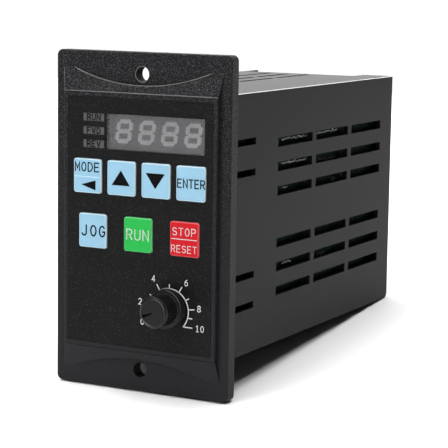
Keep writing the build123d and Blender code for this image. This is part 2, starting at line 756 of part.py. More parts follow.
def rear_panel():
    half_w = INNER_X - REAR_PANEL_GAP
    half_h = INNER_Z - REAR_PANEL_GAP
    y0 = REAR_PANEL_FRONT - 1
    y1 = REAR_PANEL_BACK + 1
    plate = block(-half_w, half_w, REAR_PANEL_FRONT, REAR_PANEL_BACK, -half_h, half_h)
    cut_half = TERMINAL_HALF + 0.4
    plate -= block(TERMINAL_MID_X - cut_half, TERMINAL_MID_X + cut_half, y0, y1,
                   TERMINAL_Z - 2.4, CASE_H)
    for z in REAR_SLOT_ROWS_Z:
        for side in (-1, 1):
            plate -= slab(REAR_SLOT_W, REAR_SLOT_H, 1.6, side * REAR_SLOT_X, z, y0, y1)
    for x, z in REAR_SCREW_PLACES:
        plate -= rod_y(x, z, SCREW_R + 0.2, y0, y1)
    return plate


def rear_screws():
    return group(pan_screw_y(x, z, REAR_PANEL_BACK, REAR_SCREW_L) for x, z in REAR_SCREW_PLACES)


# ---------------------------------------------------------------- rear terminals
def cage_room(x, gap):
    """Outer shape of a terminal's wire cage, grown by that gap all round."""
    half_w = CAGE_W / 2 + gap
    half_l = CAGE_L / 2 + gap
    floor_z = TERMINAL_Z + CAGE_FLOOR
    return block(x - half_w, x + half_w, TERMINAL_SCREW_Y - half_l, TERMINAL_SCREW_Y + half_l,
                 floor_z - gap, floor_z + CAGE_H + gap)


def terminal_block():
    """Insulating housing with a screw well on top and a wire entry at the rear."""
    body = block(TERMINAL_MID_X - TERMINAL_HALF, TERMINAL_MID_X + TERMINAL_HALF,
                 TERMINAL_Y, TERMINAL_BACK, TERMINAL_Z, TERMINAL_TOP)
    for x in TERMINAL_X:
        body -= cage_room(x, 0.1)
        body -= rod_z(x, TERMINAL_SCREW_Y, SCREW_WELL_R, TERMINAL_Z + CAGE_H, TERMINAL_TOP + 1)
        body -= rod_y(x, TERMINAL_Z + WIRE_HOLE_Z, WIRE_HOLE_R, TERMINAL_SCREW_Y, TERMINAL_BACK + 1)
    return body


def terminal_clamps():
    """Nickel-plated cages that pinch the wires."""
    cages = []
    inner = CAGE_W / 2 - CAGE_WALL
    floor_z = TERMINAL_Z + CAGE_FLOOR + 0.9
    for x in TERMINAL_X:
        cage = cage_room(x, 0)
        cage -= block(x - inner, x + inner, TERMINAL_Y, TERMINAL_BACK,
                      floor_z, floor_z + WIRE_HOLE_Z)
        cage -= rod_z(x, TERMINAL_SCREW_Y, 1.35, floor_z + 1, TERMINAL_TOP)
        cages.append(cage)
    return group(cages)


def terminal_screws():
    screws = []
    head_z = TERMINAL_TOP - 2.8
    y = TERMINAL_SCREW_Y
    for x in TERMINAL_X:
        screw = rod_z(x, y, 1.25, TERMINAL_Z + 5.6, head_z)
        screw += rod_z(x, y, SCREW_WELL_R - 0.15, head_z, head_z + 1.6)
        screw -= block(x - SCREW_WELL_R, x + SCREW_WELL_R, y - 0.35, y + 0.35,
                       head_z + 0.9, TERMINAL_TOP)
        screws.append(screw)
    return group(screws)


def terminal_board():
    """Small board under the terminal block, which plugs into the power board's edge."""
    return block(-28, POWER_BOARD_X, TERMINAL_Y - 7.6, TERMINAL_Y + 7.6,
                 TERMINAL_Z - BOARD_T, TERMINAL_Z)


# ---------------------------------------------------------------- power board and heat sink
def power_board():
    top_z = INNER_Z - 0.3
    board = block(POWER_BOARD_X, SOLDER_X, *POWER_BOARD_Y, -top_z, top_z)
    board += block(POWER_BOARD_X, SOLDER_X, POWER_BOARD_Y[1] - 0.1, BOARD_TAIL_Y,
                   BOARD_TAIL_Z, top_z)
    for y, z in SPACER_PLACES:
        board -= rod_x(y, z, SCREW_R + 0.2, POWER_BOARD_X - 1, SOLDER_X + 1)
    return board


def heat_sink():
    """Aluminium extrusion: a base that carries the power module, and its fins."""
    base_x = SINK_X[1] - SINK_BASE_T
    sink = block(base_x, SINK_X[1], *SINK_Y, *SINK_Z)
    pitch = (SINK_Z[1] - SINK_Z[0] - SINK_FIN_T) / (SINK_FINS - 1)
    for fin in range(SINK_FINS):
        z0 = SINK_Z[0] + fin * pitch
        sink += block(SINK_X[0], base_x + 0.5, *SINK_Y, z0, z0 + SINK_FIN_T)
    return sink


def board_spacers():
    """Brass spacers between the heat sink and the power board."""
    posts = []
    for y, z in SPACER_PLACES:
        post = hexagon_x(y, z, SPACER_R, SINK_X[1], POWER_BOARD_X)
        posts.append(post - rod_x(y, z, SCREW_R + SCREW_FIT, POWER_BOARD_X - SPACER_SCREW_L,
                                  POWER_BOARD_X + 1))
    return group(posts)


def spacer_screws():
    """Screws through the board's solder side into the spacers."""
    screws = []
    for y, z in SPACER_PLACES:
        head = rod_x(y, z, SCREW_HEAD_R, SOLDER_X, SOLDER_X + SPACER_HEAD_T)
        screws.append(head + rod_x(y, z, SCREW_R, SOLDER_X - SPACER_SCREW_L, SOLDER_X + 0.2))
    return group(screws)


# ---------------------------------------------------------------- parts on the power board
def board_pin(y, z, half_w, x0):
    """Flat pin from that depth to the power board."""
    return block(x0, POWER_BOARD_X, y - half_w, y + half_w, z - 0.3, z + 0.3)


def power_module():
    """Inverter module flat on the heat sink, its pins reaching the board."""
    x1 = SINK_X[1] + MODULE_T
    body = block(SINK_X[1], x1, *MODULE_SPAN)
    for row in MODULE_PIN_ROWS_Z:
        for pin in range(MODULE_PINS):
            body += board_pin(MODULE_SPAN[0] + 4 + pin * MODULE_PIN_PITCH, row, 0.35, x1 - 0.4)
    return body


def bridge_rectifier():
    x1 = SINK_X[1] + RECTIFIER_T
    body = block(SINK_X[1], x1, *RECTIFIER_SPAN)
    pin_z = RECTIFIER_SPAN[3] - 2.2
    for pin in range(RECTIFIER_PINS):
        body += board_pin(RECTIFIER_SPAN[0] + 2.5 + pin * RECTIFIER_PIN_PITCH, pin_z, 0.5, x1 - 0.6)
    return body


def bulk_capacitors():
    """Two electrolytic capacitors of the direct-current link, their tops scored."""
    cans = []
    top_x = POWER_BOARD_X - CAPACITOR_TALL
    for y, z in CAPACITOR_PLACES:
        can = rod_x(y, z, CAPACITOR_R, top_x, POWER_BOARD_X)
        can = fillet(can.edges().group_by(Axis.X)[0], 0.9)
        for turn in (0, 60, 120):
            can -= Pos(top_x, y, z) * Rot(turn, 0, 0) * Box(0.8, 15, 0.5)
        cans.append(can)
    return group(cans)


def inside_core(x0, x1, inset):
    """Block in the core's opening, that far in from the core's outline."""
    y0, y1, z0, z1 = CORE_SPAN
    return block(x0, x1, y0 + inset, y1 - inset, z0 + inset, z1 - inset)


def middle_limb(grow):
    """The core's middle leg, grown by that much across and up."""
    y0, y1, z0, z1 = CORE_SPAN
    z_mid = (z0 + z1) / 2
    half = MIDDLE_LIMB_HALF + grow
    return block(CORE_X[0] + CORE_LIMB - grow, CORE_X[1] - CORE_LIMB + grow,
                 y0 + CORE_LIMB - 1, y1 - CORE_LIMB + 1, z_mid - half, z_mid + half)


def transformer_core():
    """Ferrite core of the auxiliary supply, in two E halves glued together."""
    outer = block(*CORE_X, *CORE_SPAN)
    return outer - inside_core(CORE_X[0] - 1, CORE_X[1] + 1, CORE_LIMB) + middle_limb(0)


def transformer_winding():
    """Bobbin with its taped winding round the core's middle leg, and its foot."""
    coil = inside_core(CORE_X[0] + 0.5, CORE_X[1] - 0.5, CORE_LIMB + 0.2) - middle_limb(0.1)
    y0, y1, z0, z1 = CORE_SPAN
    foot = block(CORE_X[1] + 0.1, POWER_BOARD_X, y0 + 1, y1 - 1, z0 - 1, z1 + 1)
    return group([coil, foot])


def relay():
    body = on_board(RELAY_SPAN, RELAY_TALL)
    return chamfer(body.edges().group_by(Axis.X)[0], 0.6)


def choke_core():
    return Pos(CHOKE_X, CHOKE_Y, CHOKE_Z) * Torus(CHOKE_RING_R, CHOKE_SECTION_R)


def choke_winding():
    """Turns of thick wire round the choke's ring, the first two with leads to the board."""
    loops = []
    for turn in range(CHOKE_TURNS):
        degrees = 360 / CHOKE_TURNS * turn
        loop = Pos(CHOKE_RING_R, 0, 0) * Rot(90, 0, 0) * Torus(CHOKE_LOOP_R, CHOKE_WIRE_R)
        loop = Pos(CHOKE_X, CHOKE_Y, CHOKE_Z) * Rot(0, 0, degrees) * loop
        if turn < 2:
            reach = CHOKE_RING_R + CHOKE_LOOP_R
            x = CHOKE_X + reach * cos(radians(degrees))
            y = CHOKE_Y + reach * sin(radians(degrees))
            loop += rod_x(y, CHOKE_Z, CHOKE_WIRE_R, x, POWER_BOARD_X)
        loops.append(loop)
    return group(loops)


def fuse():
    """Glass fuse in two clips near the mains terminals."""
    return rod_z(FUSE_X, FUSE_Y, FUSE_R, *FUSE_Z)


def fuse_clips():
    clips = []
    for z0 in CLIP_ROWS_Z:
        z1 = z0 + CLIP_L
        clip = block(FUSE_X - 2.9, POWER_BOARD_X, FUSE_Y - CLIP_HALF, FUSE_Y + CLIP_HALF, z0, z1)
        clip -= rod_z(FUSE_X, FUSE_Y, FUSE_R + 0.05, z0 - 1, z1 + 1)
        clip -= block(FUSE_X - 4, FUSE_X - 0.6, FUSE_Y - 1.6, FUSE_Y + 1.6, z0 - 1, z1 + 1)
        clips.append(clip)
    return group(clips)


def varistor():
    disc = rod_y(VARISTOR_X, 0.0, VARISTOR_R, *VARISTOR_Y)
    y_mid = sum(VARISTOR_Y) / 2
    return disc + on_board((y_mid - 0.4, y_mid + 0.4, -3.0, 3.0), 3.5)


def film_capacitors():
    boxes = []
    for z0 in FILM_ROWS_Z:
        body = on_board((*FILM_Y, z0, z0 + FILM_H), FILM_TALL)
        boxes.append(chamfer(body.edges().group_by(Axis.X)[0], 0.5))
    return group(boxes)


def shunt_resistors():
    """Two current-sensing resistors, each a rod on two feet."""
    bars = []
    for z in SHUNT_ROWS_Z:
        bar = rod_y(POWER_BOARD_X - SHUNT_STAND, z, SHUNT_R, *SHUNT_Y)
        for y in (SHUNT_Y[0] + 1, SHUNT_Y[1] - 2):
            bar += on_board((y, y + 1, z - 0.4, z + 0.4), SHUNT_STAND)
        bars.append(bar)
    return group(bars)


def microcontroller():
    """Controller chip with its two rows of legs."""
    y0, y1, z0, z1 = CHIP_SPAN
    chip = on_board(CHIP_SPAN, 1.8, 0.3)
    for leg in range(CHIP_LEGS):
        y = y0 + 0.9 + leg * CHIP_LEG_PITCH
        for foot_z in (z0 - 1.2, z1 - 0.1):
            chip += on_board((y - 0.2, y + 0.2, foot_z, foot_z + 1.3), 0.9)
    return chip


# ---------------------------------------------------------------- ribbon cable
def ribbon_headers():
    """Pin headers at the two ends of the ribbon cable."""
    z0 = HEADER_Z - HEADER_HALF_L
    z1 = HEADER_Z + HEADER_HALF_L
    front_header = block(HEADER_X - HEADER_HALF_W, HEADER_X + HEADER_HALF_W,
                         KEYPAD_BOARD_BACK, KEYPAD_BOARD_BACK + HEADER_TALL, z0, z1)
    side_header = on_board((RIBBON_Y - HEADER_HALF_W, RIBBON_Y + HEADER_HALF_W, z0, z1), HEADER_TALL)
    return group([front_header, side_header])


def ribbon_cable():
    """Flat cable from the keypad board to the power board."""
    path = FilletPolyline(
        (HEADER_X, KEYPAD_BOARD_BACK + HEADER_TALL),
        (HEADER_X, RIBBON_Y),
        (POWER_BOARD_X - HEADER_TALL, RIBBON_Y),
        radius=RIBBON_BEND,
    )
    strip = trace(path, line_width=RIBBON_T)
    return Pos(0, 0, HEADER_Z - RIBBON_W / 2) * extrude(strip, amount=RIBBON_W)


# ---------------------------------------------------------------- assembly
PIECES = (
    front_panel, front_label, display_window, led_display, indicator_lenses, indicator_leds,
    switch_bodies, keypad_board, keypad_screws, control_chips, potentiometer, pot_washer,
    pot_nut, pot_shaft, knob, knob_pointer, main_case, rear_panel, rear_screws,
    terminal_block, terminal_clamps, terminal_screws, terminal_board, power_board, heat_sink,
    board_spacers, spacer_screws, power_module, bridge_rectifier, bulk_capacitors,
    transformer_core, transformer_winding, relay, choke_core, choke_winding, fuse, fuse_clips,
    varistor, film_capacitors, shunt_resistors, microcontroller, ribbon_headers, ribbon_cable,
)


def build():
    """Every node's name and shape."""
    shapes = {piece.__name__: piece() for piece in PIECES}
    for name, (x, z) in KEYS.items():
        shapes[f"key_{name}"] = key_cap(x, z)
        shapes[f"plunger_{name}"] = switch_plunger(x, z)
    return shapes


parts = build()
for node, shape in parts.items():
    export_step(shape, f"parts/{node}.step")
print(len(parts), "nodes written")
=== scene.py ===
"""Looks for a panel-mounted variable frequency drive: materials, printed legends,
display segments, solder joints, floor, lights and camera. Metres, in the CAD frame."""
import json
import math
import random

import bmesh
import bpy
from mathutils import Matrix, Vector

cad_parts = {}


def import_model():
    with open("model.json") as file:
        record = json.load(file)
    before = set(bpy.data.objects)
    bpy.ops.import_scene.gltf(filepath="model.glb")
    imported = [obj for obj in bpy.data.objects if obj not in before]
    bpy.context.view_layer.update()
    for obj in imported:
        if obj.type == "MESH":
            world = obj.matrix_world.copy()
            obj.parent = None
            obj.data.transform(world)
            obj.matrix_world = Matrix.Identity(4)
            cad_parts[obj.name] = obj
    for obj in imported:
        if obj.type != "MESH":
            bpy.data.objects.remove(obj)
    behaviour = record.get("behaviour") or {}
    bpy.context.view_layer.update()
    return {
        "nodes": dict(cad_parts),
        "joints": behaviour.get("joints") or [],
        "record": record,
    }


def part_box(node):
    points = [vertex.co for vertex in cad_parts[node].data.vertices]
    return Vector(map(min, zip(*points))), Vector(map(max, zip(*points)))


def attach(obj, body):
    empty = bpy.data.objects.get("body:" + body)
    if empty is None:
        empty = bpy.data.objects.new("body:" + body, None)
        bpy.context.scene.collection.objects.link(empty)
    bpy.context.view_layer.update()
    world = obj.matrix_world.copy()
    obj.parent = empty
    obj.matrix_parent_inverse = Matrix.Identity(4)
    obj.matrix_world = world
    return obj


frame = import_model()
nodes = frame["nodes"]
MM = 0.001

# ---------------------------------------------------------------- places from the frame
panel_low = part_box("front_panel")[0]
label_low, label_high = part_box("front_label")
case_low, case_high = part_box("main_case")
display_low, display_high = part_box("led_display")
lens_low, lens_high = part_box("indicator_lenses")
board_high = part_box("power_board")[1]
knob_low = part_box("knob")[0]
knob_joint = next(j for j in frame["joints"] if j["name"] == "knob_turn")
KNOB_X = knob_joint["pos_m"][0]
KNOB_Z = knob_joint["pos_m"][2]

# ---------------------------------------------------------------- view and floor
VIEW_AZIMUTH = 28.05
VIEW_ELEVATION = 8.3
VIEW_ROLL = 0.85
VIEW_DISTANCE = 0.6934
VIEW_TARGET = Vector((0.0150, 0.0348, -0.00365))
LENS_MM = 138.1
CASE_FOOT = 0.0024             # from the case's rear face forward to where its bottom rests
FLOOR_CLEAR = 0.0001
FLOOR_HALF_W = 1.3
FLOOR_FRONT = -1.3
FLOOR_FOLD = 0.19              # just behind the case the floor turns level
FLOOR_REAR = 1.2
FLOOR_GLOW_FROM = (0.3, 0.8)   # the floor fades to a white surround over these radii
FLOOR_GLOW = 0.85
SURROUND = 1.05                # the white that the camera sees behind everything
BACKDROP_FROM = (0.55, 0.90)   # the direction's y where the lit backdrop begins and is full
BACKDROP = (0.03, 0.60)        # the world's light outside and on the backdrop

# ---------------------------------------------------------------- painted highlights and painted light
SHINE_DIRECTION = (0.52, -0.64, 0.57)     # between the room's light and the viewer
CASE_HIGHLIGHT_FACING = (0.6, 0.0, 0.8)          # the way the case's edges with a painted highlight face
RIGHT_CREASE = 0.0338          # to the right of this the panel's edges get no painted highlight
LABEL_EDGE = 0.0006            # round the label, where the panel's edge gets no painted highlight
PAINTED_LIGHT_HEIGHTS = (-0.045, 0.055)    # heights between which the panel's painted glints and edge highlights go from dull to bright, and its ground from painted lighter to its own black

# ---------------------------------------------------------------- printed layout, in mm
PRINT_T = 0.04
MITRE_LIMIT = 0.35         # least cosine at a stroke's corner, so that sharp ones stay short
SCALE_R = 8.5
SCALE_LINE = 0.42
SCALE_DROP = 1.0           # the printed scale sits a little below the shaft's axis
TICK_DEG = (0, 30, 58, 83, 105, 133)      # from the middle tick out to the end one
LONG_TICK = 2.5
SHORT_TICK = 1.55
LEVEL_TICKS = {9: 1.8, 10: 3.9}           # drawn almost level, with these lengths
LEVEL_TICK_FALL = 0.1
NUMERALS = {0: (-12.0, -5.7), 2: (-13.0, 2.2), 4: (-7.1, 11.7),
            6: (7.4, 11.4), 8: (13.1, 1.85), 10: (13.5, -5.9)}
NUMERAL_TYPE = (2.3, 1.35, 2.15, 0.28)    # a letter's height, width, pitch and pen
LAMP_TYPE = (2.2, 1.45, 2.25, 0.50)
LAMP_WORDS = {"RUN": 5.2, "FWD": 0.0, "REV": -5.2}     # heights from the lenses' middle


# ================================================================ mesh helpers
def add_object(name, data):
    """Puts a mesh, a light or a camera into the scene."""
    obj = bpy.data.objects.new(name, data)
    bpy.context.scene.collection.objects.link(obj)
    return obj


def finish_mesh(name, bm, material, body, smooth=False):
    """Turns a bmesh in mm into a piece that rides on a body."""
    bmesh.ops.recalc_face_normals(bm, faces=bm.faces)
    bmesh.ops.scale(bm, vec=(MM, MM, MM), verts=bm.verts)
    mesh = bpy.data.meshes.new(name)
    bm.to_mesh(mesh)
    bm.free()
    for face in mesh.polygons:
        face.use_smooth = smooth
    mesh.materials.append(material)
    obj = add_object(name, mesh)
    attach(obj, body)


def prism(bm, outline, y_back, y_front):
    """Flat outline of (x, z) points, thickened from y_back to y_front."""
    back = [bm.verts.new((x, y_back, z)) for x, z in outline]
    front = [bm.verts.new((x, y_front, z)) for x, z in outline]
    bm.faces.new(back)
    bm.faces.new(list(reversed(front)))
    count = len(outline)
    for i in range(count):
        j = (i + 1) % count
        bm.faces.new((back[i], back[j], front[j], front[i]))


def sides_of(points, width, closed):
    """Left and right edges of a line of that width, with mitred corners."""
    left = []
    right = []
    count = len(points)
    for i in range(count):
        before = points[(i - 1) % count] if closed or i > 0 else None
        after = points[(i + 1) % count] if closed or i < count - 1 else None
        here = Vector(points[i])
        directions = []
        if before is not None:
            directions.append((here - Vector(before)).normalized())
        if after is not None:
            directions.append((Vector(after) - here).normalized())
        along = sum(directions, Vector((0, 0))).normalized()
        normal = Vector((-along.y, along.x))
        cosine = max(MITRE_LIMIT, along.dot(directions[0]))
        reach = width / 2 / cosine
        left.append(here + normal * reach)
        right.append(here - normal * reach)
    return left, right


def cap_points(centre, start_angle, radius):
    """Half circle that rounds off a stroke's end."""
    steps = 5
    points = []
    for step in range(1, steps):
        angle = start_angle - math.pi * step / steps
        points.append(Vector(centre) + radius * Vector((math.cos(angle), math.sin(angle))))
    return points


def stroke(bm, points, width, y_back, y_front, closed=False):
    """One pen stroke through (x, z) points, as a thin raised ribbon."""
    left, right = sides_of(points, width, closed)
    if not closed:
        end_dir = Vector(points[-1]) - Vector(points[-2])
        start_dir = Vector(points[0]) - Vector(points[1])
        end_angle = math.atan2(end_dir.y, end_dir.x) + math.pi / 2
        start_angle = math.atan2(start_dir.y, start_dir.x) + math.pi / 2
        outline = left + cap_points(points[-1], end_angle, width / 2)
        outline += list(reversed(right)) + cap_points(points[0], start_angle, width / 2)
        prism(bm, outline, y_back, y_front)
        return
    rings = []
    for y in (y_back, y_front):
        for edge in (left, right):
            rings.append([bm.verts.new((p.x, y, p.y)) for p in edge])
    back_left, back_right, front_left, front_right = rings
    count = len(points)
    for i in range(count):
        j = (i + 1) % count
        bm.faces.new((back_left[i], back_left[j], back_right[j], back_right[i]))
        bm.faces.new((front_left[i], front_left[j], front_right[j], front_right[i]))
        bm.faces.new((back_left[i], back_left[j], front_left[j], front_left[i]))
        bm.faces.new((back_right[i], back_right[j], front_right[j], front_right[i]))


def arc(cx, cz, rx, rz, start, end, steps=12):
    """Points along part of an ellipse, angles in degrees."""
    points = []
    for step in range(steps + 1):
        angle = math.radians(start + (end - start) * step / steps)
        points.append((cx + rx * math.cos(angle), cz + rz * math.sin(angle)))
    return points


def oval(cx, cz, rx, rz):
    """Closed oval for a letter's bowl."""
    return arc(cx, cz, rx, rz, 0, 360, 24)[:-1]


# Single-line letters in a cell one wide and one high: (points, closed) strokes.
GLYPHS = {
    "M": [([(0, 0), (0, 1), (0.5, 0.3), (1, 1), (1, 0)], False)],
    "O": [(oval(0.5, 0.5, 0.48, 0.5), True)],
    "D": [([(0, 0), (0, 1)] + arc(0.3, 0.5, 0.68, 0.5, 90, -90), True)],
    "E": [([(0.95, 1), (0, 1), (0, 0), (0.95, 0)], False), ([(0, 0.52), (0.8, 0.52)], False)],
    "N": [([(0, 0), (0, 1), (1, 0), (1, 1)], False)],
    "T": [([(0, 1), (1, 1)], False), ([(0.5, 1), (0.5, 0)], False)],
    "R": [([(0, 0), (0, 1)] + arc(0.55, 0.74, 0.42, 0.26, 90, -90) + [(0, 0.48)], False),
          ([(0.5, 0.48), (1, 0)], False)],
    "J": [([(0.8, 1)] + arc(0.42, 0.24, 0.38, 0.24, 0, -165), False)],
    "G": [(arc(0.5, 0.5, 0.5, 0.5, 42, 335, 18) + [(0.97, 0.46), (0.6, 0.46)], False)],
    "U": [([(0, 1)] + arc(0.5, 0.3, 0.5, 0.3, 180, 360) + [(1, 1)], False)],
    "S": [(arc(0.5, 0.75, 0.45, 0.25, 25, 250, 10) + arc(0.5, 0.26, 0.48, 0.26, 75, -155, 10), False)],
    "P": [([(0, 0), (0, 1)] + arc(0.5, 0.73, 0.48, 0.27, 90, -90) + [(0, 0.46)], False)],
    "F": [([(0.95, 1), (0, 1), (0, 0)], False), ([(0, 0.52), (0.8, 0.52)], False)],
    "W": [([(0, 1), (0.24, 0), (0.5, 0.75), (0.76, 0), (1, 1)], False)],
    "V": [([(0, 1), (0.5, 0), (1, 1)], False)],
    "0": [(oval(0.5, 0.5, 0.46, 0.5), True)],
    "1": [([(0.2, 0.82), (0.55, 1), (0.55, 0)], False), ([(0.2, 0), (0.9, 0)], False)],
    "2": [(arc(0.5, 0.72, 0.46, 0.28, 165, -30, 10) + [(0.02, 0), (1, 0)], False)],
    "4": [([(0.72, 0), (0.72, 1), (0, 0.3), (1, 0.3)], False)],
    "6": [(oval(0.5, 0.31, 0.46, 0.31), True), (arc(1.0, 0.34, 0.96, 0.66, 105, 178, 8), False)],
    "8": [(oval(0.5, 0.25, 0.48, 0.25), True), (oval(0.5, 0.76, 0.42, 0.24), True)],
}


def write(bm, words, x, z, lettering, y_back):
    """Writes a word centred on (x, z), in mm, on the surface at y_back."""
    height, width, pitch, pen = lettering
    start = x - (len(words) - 1) * pitch / 2
    for place, letter in enumerate(words):
        left = start + place * pitch - width / 2
        for points, closed in GLYPHS[letter]:
            placed = [(left + px * width, z - height / 2 + pz * height) for px, pz in points]
            stroke(bm, placed, pen, y_back, y_back - PRINT_T, closed)


# ================================================================ material helpers
class Shader:
    """A Principled material that builds its node tree piece by piece."""

    def __init__(self, name, colour, roughness, **sockets):
        self.material = bpy.data.materials.new(name)
        self.material.use_nodes = True
        self.tree = self.material.node_tree
        self.bsdf = self.tree.nodes["Principled BSDF"]
        self.place = self.add("ShaderNodeTexCoord").outputs["Object"]
        self.bsdf.inputs["Base Color"].default_value = (*colour, 1)
        self.bsdf.inputs["Roughness"].default_value = roughness
        self.height = None
        for socket, value in sockets.items():
            self.bsdf.inputs[socket.replace("_", " ")].default_value = value

    def add(self, kind, **settings):
        node = self.tree.nodes.new(kind)
        for key, value in settings.items():
            setattr(node, key, value)
        return node

    def link(self, output, socket):
        self.tree.links.new(output, socket)

    def feed(self, value, socket):
        """Gives a socket another node's output, a colour or a plain value."""
        if hasattr(value, "is_output"):
            self.link(value, socket)
        elif socket.type == "RGBA":
            socket.default_value = (*value, 1)
        else:
            socket.default_value = value

    def noise(self, size_mm, detail=2.0, roughness=0.5):
        """Cloudy pattern with features of about that size."""
        node = self.add("ShaderNodeTexNoise")
        node.inputs["Scale"].default_value = 1 / (size_mm * MM)
        node.inputs["Detail"].default_value = detail
        node.inputs["Roughness"].default_value = roughness
        self.link(self.place, node.inputs["Vector"])
        return node.outputs["Fac"]

    def cell_edges(self, size_mm):
        """Distance to the nearest edge of a pattern of cells."""
        node = self.add("ShaderNodeTexVoronoi", feature="DISTANCE_TO_EDGE")
        node.inputs["Scale"].default_value = 1 / (size_mm * MM)
        self.link(self.place, node.inputs["Vector"])
        return node.outputs["Distance"]

    def remap(self, value, from_low, from_high, to_low=0.0, to_high=1.0):
        """Smooth step from to_low to to_high as the value goes from from_low to from_high."""
        node = self.add("ShaderNodeMapRange", interpolation_type="SMOOTHSTEP")
        node.inputs["From Min"].default_value = from_low
        node.inputs["From Max"].default_value = from_high
        node.inputs["To Min"].default_value = to_low
        node.inputs["To Max"].default_value = to_high
        self.link(value, node.inputs["Value"])
        return node.outputs["Result"]

    def mix(self, factor, low, high):
        """Colour that goes from low to high with the factor."""
        node = self.add("ShaderNodeMix", data_type="RGBA")
        self.link(factor, node.inputs["Factor"])
        sockets = [s for s in node.inputs if s.type == "RGBA"]
        self.feed(low, sockets[0])
        self.feed(high, sockets[1])
        return [s for s in node.outputs if s.type == "RGBA"][0]

    def calculate(self, operation, *values):
        """Result of a Math node's operation on the values."""
        node = self.add("ShaderNodeMath", operation=operation)
        for value, socket in zip(values, node.inputs):
            self.feed(value, socket)
        return node.outputs[0]

    def axes(self, vector):
        """X, Y and Z of a vector."""
        node = self.add("ShaderNodeSeparateXYZ")
        self.link(vector, node.inputs[0])
        return node.outputs

    def normal(self, kind="Normal"):
        return self.add("ShaderNodeNewGeometry").outputs[kind]

    def cosine(self, first, second):
        """Cosine of the angle between two directions."""
        node = self.add("ShaderNodeVectorMath", operation="DOT_PRODUCT")
        self.feed(first, node.inputs[0])
        self.feed(second, node.inputs[1])
        return node.outputs["Value"]

    def edges(self, radius_mm):
        """One along sharp edges and nought on flat ground."""
        rounded = self.add("ShaderNodeBevel", samples=8)
        rounded.inputs["Radius"].default_value = radius_mm * MM
        return self.remap(self.cosine(rounded.outputs["Normal"], self.normal()), 0.995, 0.95)

    def facing(self, direction, start):
        """One where the surface faces that way, nought where the cosine is under start."""
        return self.remap(self.cosine(self.normal(), Vector(direction).normalized()), start, 1.0)

    def colour_from(self, output):
        self.link(output, self.bsdf.inputs["Base Color"])

    def roughness_from(self, output):
        self.link(output, self.bsdf.inputs["Roughness"])

    def bump(self, height, depth_mm, strength=1.0):
        """Adds a relief on top of those already there."""
        node = self.add("ShaderNodeBump")
        node.inputs["Strength"].default_value = strength
        node.inputs["Distance"].default_value = depth_mm * MM
        self.link(height, node.inputs["Height"])
        if self.height is not None:
            self.link(self.height, node.inputs["Normal"])
        self.height = node.outputs["Normal"]
        self.link(self.height, self.bsdf.inputs["Normal"])


def tint(colour, factor):
    """The colour made darker or lighter."""
    return tuple(min(1.0, c * factor) for c in colour)


def moulded(name, colour, roughness, grain_mm, depth_mm, mottle=0.12, **sockets):
    """Moulded plastic: fine grain and faint mottling."""
    shader = Shader(name, colour, roughness, **sockets)
    cloud = shader.noise(18.0, 3.0)
    shader.colour_from(shader.mix(cloud, tint(colour, 1 - mottle), tint(colour, 1 + mottle)))
    shader.bump(shader.noise(grain_mm, 2.0), depth_mm)
    return shader.material


# ================================================================ the materials
def off_label(shader, across, up):
    """One on the panel's edges that get a painted highlight: off the label and left of the right crease."""
    half_w = (label_high.x - label_low.x) / 2 + LABEL_EDGE
    half_h = (label_high.z - label_low.z) / 2 + LABEL_EDGE
    beside = shader.calculate("GREATER_THAN", shader.calculate("ABSOLUTE", across), half_w)
    above = shader.calculate("GREATER_THAN", shader.calculate("ABSOLUTE", up), half_h)
    outside = shader.calculate("MAXIMUM", beside, above)
    return shader.calculate("MULTIPLY", outside, shader.calculate("LESS_THAN", across, RIGHT_CREASE))


def panel_black():
    """Spark-eroded black plastic with painted light: glints painted on its grains, brighter higher up and
    on upward slopes, a painted highlight along its edges, and its ground painted lighter low down.
    """
    base = (0.0075, 0.0075, 0.0085)
    shader = Shader("panel_black", base, 0.46, Specular_IOR_Level=0.12)
    grains = shader.noise(0.30, 1.0, 0.5)
    coarse = shader.noise(1.1, 2.0, 0.6)
    across, _, up = shader.axes(shader.place)
    # painted light: glints and edge highlights brighter higher up, the ground painted lighter low down
    painted_light_by_height = shader.remap(up, *PAINTED_LIGHT_HEIGHTS)
    # painted light: grains on surfaces sloping upward painted brighter
    upward_light = shader.remap(shader.axes(shader.normal())["Z"], 0.05, 0.25)
    # painted glints: lighter specks on the grains stand in for their sparkle
    glint_speck = shader.remap(grains, 0.56, 0.68)
    bright = shader.mix(upward_light, (0.085, 0.085, 0.09), (0.125, 0.125, 0.13))
    glint_colour = shader.mix(painted_light_by_height, (0.022, 0.022, 0.023), bright)
    ground = shader.mix(glint_speck, shader.mix(painted_light_by_height, tint(base, 2.2), base), glint_colour)
    # painted highlight along the panel's sharp edges, off the label and left of the right crease
    shine = shader.calculate("MULTIPLY", shader.edges(0.35), off_label(shader, across, up))
    edge_highlight_colour = shader.mix(painted_light_by_height, (0.012, 0.012, 0.013), (0.26, 0.26, 0.265))
    shader.colour_from(shader.mix(shine, ground, edge_highlight_colour))
    shader.bump(coarse, 0.08, 0.6)
    shader.bump(grains, 0.08, 0.8)
    return shader.material


def case_black():
    """Plain matt black plastic with a painted highlight on its edges that face up and right."""
    base = (0.0077, 0.0076, 0.0093)
    shader = Shader("case_black", base, 0.50, Specular_IOR_Level=0.12)
    ground = shader.mix(shader.noise(18.0, 3.0), tint(base, 0.94), tint(base, 1.06))
    # painted highlight: faces turned up and right painted near white
    painted_edge_highlight = shader.facing(CASE_HIGHLIGHT_FACING, 0.87)
    shader.colour_from(shader.mix(painted_edge_highlight, ground, (0.80, 0.80, 0.81)))
    shader.bump(shader.noise(0.5, 2.0), 0.022)
    return shader.material


